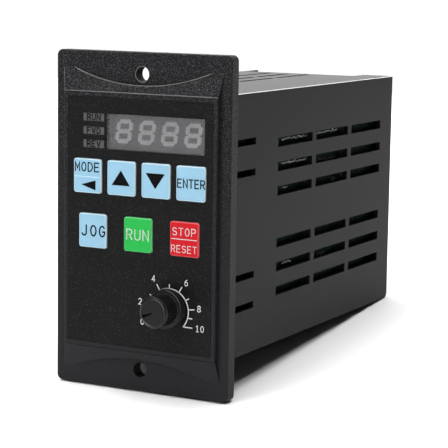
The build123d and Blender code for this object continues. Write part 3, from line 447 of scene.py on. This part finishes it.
def label_film():
    """Matt printed film with faint painted sparkle: lighter specks stand in for glints."""
    base = (0.0054, 0.0054, 0.0059)
    shader = Shader("label_film", base, 0.5, Specular_IOR_Level=0.12)
    grains = shader.noise(0.42, 1.0, 0.5)
    cloud = shader.noise(14.0, 2.0)
    # painted sparkle: lighter specks stand in for glints
    glint_speck = shader.remap(grains, 0.61, 0.74)
    ground = shader.mix(cloud, tint(base, 0.85), tint(base, 1.15))
    shader.colour_from(shader.mix(glint_speck, ground, (0.036, 0.035, 0.034)))
    shader.bump(grains, 0.03, 0.6)
    return shader.material


def key_plastic(name, face, rim):
    """Key whose flat front is coloured and whose bevelled rim is a little paler."""
    shader = Shader(name, face, 0.38, Specular_IOR_Level=0.15)
    cloud = shader.noise(6.0, 3.0)
    ground = shader.mix(cloud, tint(face, 0.96), tint(face, 1.04))
    on_rim = shader.remap(shader.axes(shader.normal("True Normal"))["Y"], -0.97, -0.85)
    shader.colour_from(shader.mix(on_rim, ground, rim))
    shader.bump(shader.noise(0.35, 2.0), 0.012)
    return shader.material


def smoked_window():
    """Thin grey plate that shows the digits behind it."""
    shader = Shader("smoked_window", (0.085, 0.083, 0.090), 0.32, Alpha=0.34, Specular_IOR_Level=0.3)
    haze = shader.remap(shader.noise(0.40, 3.0, 0.6), 0.40, 0.70)
    shader.colour_from(shader.mix(haze, (0.11, 0.107, 0.112), (0.34, 0.335, 0.345)))
    shader.bump(shader.noise(0.5, 2.0), 0.01)
    return shader.material


def display_grey():
    """The display's moulded face."""
    return moulded("display_grey", (0.120, 0.116, 0.122), 0.5, 0.5, 0.02)


def lens_grey():
    """Milky grey light bar."""
    return moulded("lens_grey", (0.075, 0.075, 0.074), 0.35, 0.6, 0.01, mottle=0.2)


def board_green():
    """Dull solder mask over copper tracks."""
    base = (0.0010, 0.0065, 0.0030)
    shader = Shader("board_green", base, 0.6, Specular_IOR_Level=0.03)
    track = shader.remap(shader.cell_edges(5.5), 0.05, 0.09, 1.0, 0.0)
    shader.colour_from(shader.mix(track, base, (0.002, 0.018, 0.008)))
    shader.bump(track, 0.03)
    return shader.material


def knob_edge():
    """Near-black edge with a painted highlight on the side that faces the light."""
    shader = Shader("knob_edge", (0.01, 0.01, 0.01), 0.3)
    # painted highlight: the side facing SHINE_DIRECTION painted light grey
    lit = shader.facing(SHINE_DIRECTION, 0.82)
    highlight_colour = shader.mix(shader.noise(0.8, 2.0), (0.40, 0.40, 0.41), (0.65, 0.65, 0.66))
    shader.colour_from(shader.mix(lit, (0.012, 0.012, 0.0125), highlight_colour))
    shader.bump(shader.noise(0.4, 2.0), 0.002)
    return shader.material


def metal(name, colour, roughness, brush_mm, depth_mm):
    """Plain metal with fine tooling marks."""
    shader = Shader(name, colour, roughness, Metallic=1.0)
    marks = shader.noise(brush_mm, 5.0, 0.7)
    shader.roughness_from(shader.remap(marks, 0.3, 0.7, roughness - 0.07, roughness + 0.10))
    shader.colour_from(shader.mix(marks, tint(colour, 0.88), tint(colour, 1.05)))
    shader.bump(marks, depth_mm)
    return shader.material


def clear_glass(name, colour, alpha):
    """Thin clear tube."""
    shader = Shader(name, colour, 0.08, Alpha=alpha)
    shader.bump(shader.noise(3.0, 2.0), 0.01)
    return shader.material


def print_ink(name, colour):
    """Screen-printed ink, very slightly uneven."""
    shader = Shader(name, colour, 0.6, Specular_IOR_Level=0.05)
    cloud = shader.noise(0.5, 3.0)
    shader.colour_from(shader.mix(cloud, tint(colour, 0.92), tint(colour, 1.04)))
    shader.bump(shader.noise(0.2, 2.0), 0.004)
    return shader.material


FINISHES = {
    "panel_black": panel_black(),
    "label_film": label_film(),
    "smoked_window": smoked_window(),
    "display_grey": display_grey(),
    "lens_grey": lens_grey(),
    "led_clear": moulded("led_clear", (0.55, 0.62, 0.55), 0.2, 1.0, 0.01),
    "component_black": moulded("component_black", (0.018, 0.018, 0.020), 0.45, 0.3, 0.02),
    "board_green": board_green(),
    "steel": metal("steel", (0.62, 0.62, 0.60), 0.30, 0.6, 0.01),
    "pot_metal": metal("pot_metal", (0.50, 0.50, 0.49), 0.38, 0.8, 0.01),
    "aluminium": metal("aluminium", (0.72, 0.73, 0.74), 0.36, 0.5, 0.01),
    "knob_black": moulded("knob_black", (0.007, 0.007, 0.0075), 0.36, 0.5, 0.006,
                          Specular_IOR_Level=0.20),
    # painted shade: the pointer's groove painted blacker and without shine than the knob's own plastic
    "pointer_grey": moulded("pointer_grey", (0.004, 0.004, 0.0035), 0.7, 0.3, 0.02,
                            Specular_IOR_Level=0.0),
    "case_black": case_black(),
    "terminal_black": moulded("terminal_black", (0.020, 0.020, 0.020), 0.42, 0.6, 0.02),
    "brass": metal("brass", (0.72, 0.52, 0.22), 0.28, 0.5, 0.01),
    "capacitor_sleeve": moulded("capacitor_sleeve", (0.020, 0.026, 0.055), 0.25, 1.2, 0.02),
    "ferrite": moulded("ferrite", (0.040, 0.040, 0.042), 0.6, 0.4, 0.05),
    "winding_tape": moulded("winding_tape", (0.55, 0.38, 0.03), 0.28, 1.5, 0.03),
    "fuse_glass": clear_glass("fuse_glass", (0.75, 0.80, 0.80), 0.35),
    "copper_wire": metal("copper_wire", (0.62, 0.26, 0.10), 0.3, 0.6, 0.01),
    "varistor_blue": moulded("varistor_blue", (0.02, 0.08, 0.38), 0.3, 0.8, 0.03),
    "film_yellow": moulded("film_yellow", (0.55, 0.40, 0.05), 0.45, 0.6, 0.02),
    "ceramic": moulded("ceramic", (0.60, 0.56, 0.48), 0.6, 0.4, 0.04),
    "ribbon_grey": moulded("ribbon_grey", (0.28, 0.28, 0.30), 0.5, 1.0, 0.03),
    "key_blue": key_plastic("key_blue", (0.30, 0.53, 0.69), (0.52, 0.68, 0.76)),
    "key_green": key_plastic("key_green", (0.022, 0.45, 0.075), (0.12, 0.52, 0.18)),
    "key_red": key_plastic("key_red", (0.58, 0.008, 0.016), (0.64, 0.10, 0.11)),
}
INK_BLACK = print_ink("ink_black", (0.004, 0.004, 0.005))
INK_WHITE = print_ink("ink_white", (0.80, 0.80, 0.80))
INK_PALE = print_ink("ink_pale", (0.55, 0.76, 0.88))
INK_SOFT = print_ink("ink_soft", (0.62, 0.62, 0.62))
INK_DIM = print_ink("ink_dim", (0.008, 0.008, 0.008))
KNOB_HIGHLIGHT = knob_edge()
SOLDER = moulded("solder", (0.80, 0.81, 0.80), 0.4, 0.4, 0.01)
SEGMENT = print_ink("segment", (0.80, 0.80, 0.81))
GLOW = print_ink("glow", (0.26, 0.26, 0.265))
DOT = print_ink("dot", (0.17, 0.17, 0.175))

for row in frame["record"]["subparts"]:
    mesh = nodes[row["node"]].data
    mesh.materials.clear()
    mesh.materials.append(FINISHES[row["material_slot"]])


# ================================================================ printed legends
def key_place(name):
    """A key's centre in x and z and its front face's y, in mm."""
    low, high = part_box(f"key_{name}")
    return (low.x + high.x) / 2 / MM, (low.z + high.z) / 2 / MM, low.y / MM


def key_words(name, words, shift, lettering, ink):
    """A word on a key, its middle shifted in x and z from the key's centre."""
    x, z, front = key_place(name)
    bm = bmesh.new()
    write(bm, words, x + shift[0], z + shift[1], lettering, front)
    finish_mesh(f"legend_{name}_{words.lower()}", bm, ink, f"{name}_key")


def key_shape(name, label, outline, ink):
    """A filled mark on a key, its corners given from the key's centre."""
    x, z, front = key_place(name)
    bm = bmesh.new()
    prism(bm, [(x + px, z + pz) for px, pz in outline], front, front - PRINT_T)
    finish_mesh(f"{label}_{name}", bm, ink, f"{name}_key")


def key_legends():
    """The keys' words, with their lettering's height, width, pitch and pen, and marks."""
    key_words("mode", "MODE", (0.0, 3.5), (3.35, 1.95, 2.95, 0.50), INK_BLACK)
    key_words("enter", "ENTER", (0.3, 0.0), (3.1, 1.65, 2.5, 0.50), INK_BLACK)
    key_words("jog", "JOG", (0.5, 0.0), (4.0, 2.5, 4.05, 0.62), INK_BLACK)
    key_words("run", "RUN", (0.0, 0.0), (3.95, 2.35, 3.65, 0.38), INK_SOFT)
    key_words("stop", "STOP", (0.0, 2.85), (2.8, 1.75, 2.75, 0.32), INK_SOFT)
    key_words("stop", "RESET", (0.0, -3.8), (2.6, 1.5, 2.35, 0.30), INK_SOFT)
    key_shape("mode", "arrow", [(-2.7, -3.5), (3.9, -5.5), (3.9, -1.6)], INK_BLACK)
    key_shape("up", "arrow", [(-4.1, -2.8), (4.1, -2.8), (0.0, 3.1)], INK_BLACK)
    key_shape("down", "arrow", [(-4.2, 2.9), (0.0, -3.1), (4.2, 2.9)], INK_BLACK)
    key_shape("mode", "divider", [(-5.7, -0.5), (5.7, -0.5), (5.7, -0.2), (-5.7, -0.2)], INK_PALE)
    key_shape("stop", "divider", [(-5.6, -0.15), (5.6, -0.15), (5.6, 0.15), (-5.6, 0.15)], INK_SOFT)


def dial_point(degrees, radius):
    """Point round the dial, in mm, from its angle clockwise from the top."""
    angle = math.radians(degrees)
    x = KNOB_X / MM + radius * math.sin(angle)
    z = KNOB_Z / MM - SCALE_DROP + radius * math.cos(angle)
    return x, z


def dial_scale():
    """Arc, ticks and even numbers round the knob."""
    surface = label_low.y / MM
    bm = bmesh.new()
    steps = 60
    sweep = 2 * TICK_DEG[-1]
    line = [dial_point(sweep * (step / steps - 0.5), SCALE_R) for step in range(steps + 1)]
    stroke(bm, line, SCALE_LINE, surface, surface - PRINT_T)
    for value in range(11):
        side = 1 if value > 5 else -1
        degrees = side * TICK_DEG[abs(value - 5)]
        length = SHORT_TICK if value % 2 else LONG_TICK
        start = dial_point(degrees, SCALE_R)
        end = dial_point(degrees, SCALE_R + length)
        level = LEVEL_TICKS.get(5 + abs(value - 5))
        if level:
            end = (start[0] + side * level, start[1] - LEVEL_TICK_FALL)
        stroke(bm, [start, end], SCALE_LINE, surface, surface - PRINT_T)
    centre_x, centre_z = dial_point(0, 0)
    for value, (dx, dz) in NUMERALS.items():
        write(bm, str(value), centre_x + dx, centre_z + dz, NUMERAL_TYPE, surface)
    finish_mesh("dial_scale", bm, INK_WHITE, "housing")


def indicator_words():
    """Dim words on the three light bars."""
    surface = lens_low.y / MM
    centre_x = (lens_low.x + lens_high.x) / 2 / MM
    centre_z = (lens_low.z + lens_high.z) / 2 / MM
    bm = bmesh.new()
    for words, lift in LAMP_WORDS.items():
        write(bm, words, centre_x, centre_z + lift, LAMP_TYPE, surface)
    finish_mesh("indicator_words", bm, INK_DIM, "housing")


# ================================================================ display digits, in mm
DIGIT_COUNT = 4
DIGIT_PITCH = 10.2
DIGIT_H = 9.2
DIGIT_W = 5.5
DIGIT_SLANT = 0.15
DIGITS_X = 0.6             # the digits' middle, from the display's
DIGITS_Z = 0.3
SEGMENT_W = 1.6
SEGMENT_GAP = 0.14
SEGMENT_RISE = 0.05        # how proud of the display's face the segments and dots are
GLOW_WIDER = 0.9
GLOW_RISE = 0.02
DOT_R = 0.55
POINT_RIGHT = 1.5          # a decimal point's place, from its digit's right and middle
POINT_DROP = 3.9
COLON_LIFTS = (-1.8, 1.8)


def segment_outline(x0, z0, x1, z1, width):
    """Pointed bar between two ends, as in a seven-segment digit."""
    start = Vector((x0, z0))
    end = Vector((x1, z1))
    along = (end - start).normalized()
    across = Vector((-along.y, along.x)) * width / 2
    inset = along * width / 4
    start += along * SEGMENT_GAP
    end -= along * SEGMENT_GAP
    return [start, start + inset + across, end - inset + across,
            end, end - inset - across, start + inset - across]


def digit_bars():
    """Ends of the seven bars of one digit, from its middle."""
    half_w = DIGIT_W / 2
    half_h = (DIGIT_H - SEGMENT_W) / 2
    level = [(-half_w, z, half_w, z) for z in (-half_h, 0, half_h)]
    upright = [(x, z, x, z + half_h) for x in (-half_w, half_w) for z in (-half_h, 0)]
    return level + upright


def display_middle():
    """Middle of the row of digits in x and z, in mm."""
    x = (display_low.x + display_high.x) / 2 / MM + DIGITS_X
    z = (display_low.z + display_high.z) / 2 / MM + DIGITS_Z
    return x, z


def digit_x(digit):
    """Middle of one digit, counted from the left, in mm."""
    return display_middle()[0] + (digit - (DIGIT_COUNT - 1) / 2) * DIGIT_PITCH


def slanted(points, x, z):
    """Outline leaned over like the digits and put at (x, z)."""
    return [(x + px + pz * DIGIT_SLANT, z + pz) for px, pz in points]


def digits(name, width, rise, ink):
    """Four digits with all their bars, rise mm proud of the display's face."""
    surface = display_low.y / MM
    middle_z = display_middle()[1]
    bm = bmesh.new()
    for digit in range(DIGIT_COUNT):
        for bar in digit_bars():
            outline = slanted(segment_outline(*bar, width), digit_x(digit), middle_z)
            prism(bm, outline, surface, surface - rise)
    finish_mesh(name, bm, ink, "housing")


def display_dots():
    """The colon and the decimal points, all off."""
    surface = display_low.y / MM
    middle_x, middle_z = display_middle()
    bm = bmesh.new()
    dot = oval(0, 0, DOT_R, DOT_R)
    places = [(digit_x(digit) + DIGIT_W / 2 + POINT_RIGHT, -POINT_DROP) for digit in range(DIGIT_COUNT - 1)]
    places += [(middle_x, lift) for lift in COLON_LIFTS]
    for x, lift in places:
        outline = slanted([(px, pz + lift) for px, pz in dot], x, middle_z)
        prism(bm, outline, surface, surface - SEGMENT_RISE)
    finish_mesh("display_dots", bm, DOT, "housing")


# ================================================================ knob, in mm
EDGE_RINGS = ((5.2, 0.06), (7.5, 8.4))      # radius, and depth behind the knob's face
EDGE_RING_HALF = 0.09
BEAD_RINGS = ((6.05, 0.65), (6.2, 8.1))     # bright spots at both ends of the flutes, likewise
FLUTE_COUNT = 40
BEAD_R = 0.16


def knob_point(radius, angle, y):
    """Point round the knob's axis, in mm."""
    return (KNOB_X / MM + radius * math.cos(angle), y, KNOB_Z / MM + radius * math.sin(angle))


def ring_bead(bm, radius, y, half):
    """Thin raised ring round the knob's axis, lozenge-shaped in section."""
    steps = 72
    section = ((-half, 0), (0, -half), (half, 0), (0, half))
    rings = []
    for step in range(steps):
        angle = 2 * math.pi * step / steps
        rings.append([bm.verts.new(knob_point(radius + out, angle, y + along))
                      for out, along in section])
    corners = len(section)
    for step in range(steps):
        after = rings[(step + 1) % steps]
        for i in range(corners):
            j = (i + 1) % corners
            bm.faces.new((rings[step][i], rings[step][j], after[j], after[i]))


def knob_edges():
    """Raised rings and beads along the edges of the knob's face, grip and skirt, which carry a painted
    highlight.
    """
    front = knob_low.y / MM
    bm = bmesh.new()
    for radius, depth in EDGE_RINGS:
        ring_bead(bm, radius, front + depth, EDGE_RING_HALF)
    for radius, depth in BEAD_RINGS:
        for flute in range(FLUTE_COUNT):
            place = knob_point(radius, 2 * math.pi * flute / FLUTE_COUNT, front + depth)
            bmesh.ops.create_icosphere(bm, subdivisions=1, radius=BEAD_R,
                                       matrix=Matrix.Translation(place))
    finish_mesh("knob_edges", bm, KNOB_HIGHLIGHT, "speed_knob", smooth=True)


# ================================================================ solder side, in mm
# Rows of pins on the power board: first y, last y and z.
SOLDER_ROWS = ((52.0, 76.0, 30.3), (86.0, 106.0, 30.5), (52.0, 75.0, 20.5),
               (87.0, 104.0, 18.6), (53.0, 57.0, 10.4), (101.0, 104.0, 9.2),
               (55.0, 62.0, -20.6), (88.0, 97.0, -21.8))
SOLDER_PITCH = 1.27
SOLDER_DRIFT = 0.35           # how far a joint strays from its row
SOLDER_R = (0.3, 0.5)
SOLDER_SEED = 41


def solder_cone(bm, face, y, z, radius):
    """A low flared cone with a short lead through its top."""
    profile = ((radius, 0.0), (radius * 0.62, 0.2), (0.2, 0.4), (0.18, 0.6))
    steps = 10
    rings = []
    for ring_r, rise in profile:
        ring = []
        for step in range(steps):
            angle = 2 * math.pi * step / steps
            ring.append(bm.verts.new((face + rise, y + ring_r * math.cos(angle),
                                      z + ring_r * math.sin(angle))))
        rings.append(ring)
    for inner, outer in zip(rings, rings[1:]):
        for step in range(steps):
            after = (step + 1) % steps
            bm.faces.new((inner[step], inner[after], outer[after], outer[step]))
    bm.faces.new(rings[-1])
    bm.faces.new(list(reversed(rings[0])))


def solder_joints():
    """Rows of solder cones with clipped leads on the power board's outer face."""
    rng = random.Random(SOLDER_SEED)
    face = board_high.x / MM
    bm = bmesh.new()
    for first_y, last_y, z in SOLDER_ROWS:
        for pin in range(int((last_y - first_y) / SOLDER_PITCH) + 1):
            y = first_y + pin * SOLDER_PITCH
            strayed_z = z + rng.uniform(-SOLDER_DRIFT, SOLDER_DRIFT)
            solder_cone(bm, face, y, strayed_z, rng.uniform(*SOLDER_R))
    finish_mesh("solder_joints", bm, SOLDER, "housing", smooth=True)


# ================================================================ stage
def floor_line():
    """A point on the floor and its slope to the rear, from the flange's foot to the case's."""
    front = Vector((0, 0, panel_low.z))
    rear = Vector((0, case_high.y - CASE_FOOT, case_low.z))
    along = (rear - front).normalized()
    normal = Vector((0, -along.z, along.y))
    return front - normal * FLOOR_CLEAR, along


def floor_white():
    """Pale matt floor that glows white away from the object."""
    shader = Shader("floor_white", (0.93, 0.93, 0.93), 0.7, Specular_IOR_Level=0.2)
    cloud = shader.noise(400.0, 2.0)
    shader.colour_from(shader.mix(cloud, (0.92, 0.92, 0.92), (0.94, 0.94, 0.94)))
    away = shader.add("ShaderNodeVectorMath", operation="LENGTH")
    shader.link(shader.place, away.inputs[0])
    shader.bsdf.inputs["Emission Color"].default_value = (1, 1, 1, 1)
    glow = shader.remap(away.outputs["Value"], *FLOOR_GLOW_FROM, 0.0, FLOOR_GLOW)
    shader.link(glow, shader.bsdf.inputs["Emission Strength"])
    return shader.material


def floor():
    """Floor tilted under the object, which rests on its flange, and level behind."""
    origin, along = floor_line()
    fold = origin + along * FLOOR_FOLD
    rows = (origin + along * FLOOR_FRONT, fold, fold + Vector((0, FLOOR_REAR, 0)))
    side = Vector((FLOOR_HALF_W, 0, 0))
    corners = [tuple(row + shift) for row in rows for shift in (-side, side)]
    mesh = bpy.data.meshes.new("floor")
    mesh.from_pydata(corners, [], [(0, 1, 3, 2), (2, 3, 5, 4)])
    mesh.materials.append(floor_white())
    add_object("floor", mesh)


def area_light(name, place, target, width, height, watts):
    """White rectangular light at a place, turned to its target."""
    data = bpy.data.lights.new(name, "AREA")
    data.shape = "RECTANGLE"
    data.size = width
    data.size_y = height
    data.energy = watts
    obj = add_object(name, data)
    obj.location = place
    aim = Vector(target) - Vector(place)
    obj.rotation_euler = aim.to_track_quat("-Z", "Y").to_euler()


def lights():
    """Soft light from above and in front, a spark for the panel's grain and a card behind."""
    centre = (0, 0.07, 0)
    area_light("top_softbox", (-0.08, 0.05, 1.2), centre, 1.2, 1.2, 28)
    area_light("front_softbox", (-0.45, -1.2, 0.9), centre, 0.8, 0.8, 11)
    area_light("sparkle_light", (0.35, -0.2, 0.6), (0, 0, 0), 0.03, 0.03, 0.8)
    area_light("back_card", (-0.9, 1.9, 0.42), centre, 2.0, 0.6, 14)


def world():
    """White to the camera; for lighting, a bright backdrop behind and dim elsewhere."""
    scene_world = bpy.data.worlds.new("studio")
    bpy.context.scene.world = scene_world
    scene_world.use_nodes = True
    tree = scene_world.node_tree
    tree.nodes.clear()
    output = tree.nodes.new("ShaderNodeOutputWorld")
    seen = tree.nodes.new("ShaderNodeBackground")
    seen.inputs["Color"].default_value = (1, 1, 1, 1)
    seen.inputs["Strength"].default_value = SURROUND
    lit = tree.nodes.new("ShaderNodeBackground")
    place = tree.nodes.new("ShaderNodeTexCoord")
    split = tree.nodes.new("ShaderNodeSeparateXYZ")
    backdrop = tree.nodes.new("ShaderNodeMapRange")
    backdrop.interpolation_type = "SMOOTHSTEP"
    limits = dict(zip(("From Min", "From Max", "To Min", "To Max"), BACKDROP_FROM + BACKDROP))
    for socket, value in limits.items():
        backdrop.inputs[socket].default_value = value
    path = tree.nodes.new("ShaderNodeLightPath")
    blend = tree.nodes.new("ShaderNodeMixShader")
    tree.links.new(place.outputs["Generated"], split.inputs[0])
    tree.links.new(split.outputs["Y"], backdrop.inputs["Value"])
    tree.links.new(backdrop.outputs["Result"], lit.inputs["Strength"])
    tree.links.new(path.outputs["Is Camera Ray"], blend.inputs["Fac"])
    tree.links.new(lit.outputs[0], blend.inputs[1])
    tree.links.new(seen.outputs[0], blend.inputs[2])
    tree.links.new(blend.outputs[0], output.inputs["Surface"])


def camera():
    """Long lens at the view's angles, rolled a little."""
    azimuth = math.radians(VIEW_AZIMUTH)
    elevation = math.radians(VIEW_ELEVATION)
    roll = math.radians(VIEW_ROLL)
    back = Vector((math.sin(azimuth) * math.cos(elevation),
                   -math.cos(azimuth) * math.cos(elevation), math.sin(elevation)))
    right = Vector((math.cos(azimuth), math.sin(azimuth), 0))
    up = back.cross(right)
    rolled_right = right * math.cos(roll) + up * math.sin(roll)
    rolled_up = up * math.cos(roll) - right * math.sin(roll)
    data = bpy.data.cameras.new("camera")
    data.lens = LENS_MM
    data.clip_start = 0.01
    data.clip_end = 20
    obj = add_object("camera", data)
    turn = Matrix((rolled_right, rolled_up, back)).transposed().to_4x4()
    obj.matrix_world = Matrix.Translation(VIEW_TARGET + back * VIEW_DISTANCE) @ turn
    bpy.context.scene.camera = obj


key_legends()
dial_scale()
indicator_words()
# painted glow: a paler band round each bar stands in for light scattered in the smoked window
digits("digit_glow", SEGMENT_W + GLOW_WIDER, GLOW_RISE, GLOW)
digits("display_digits", SEGMENT_W, SEGMENT_RISE, SEGMENT)
display_dots()
knob_edges()
solder_joints()
floor()
lights()
world()
camera()
bpy.context.scene.view_settings.view_transform = "Standard"
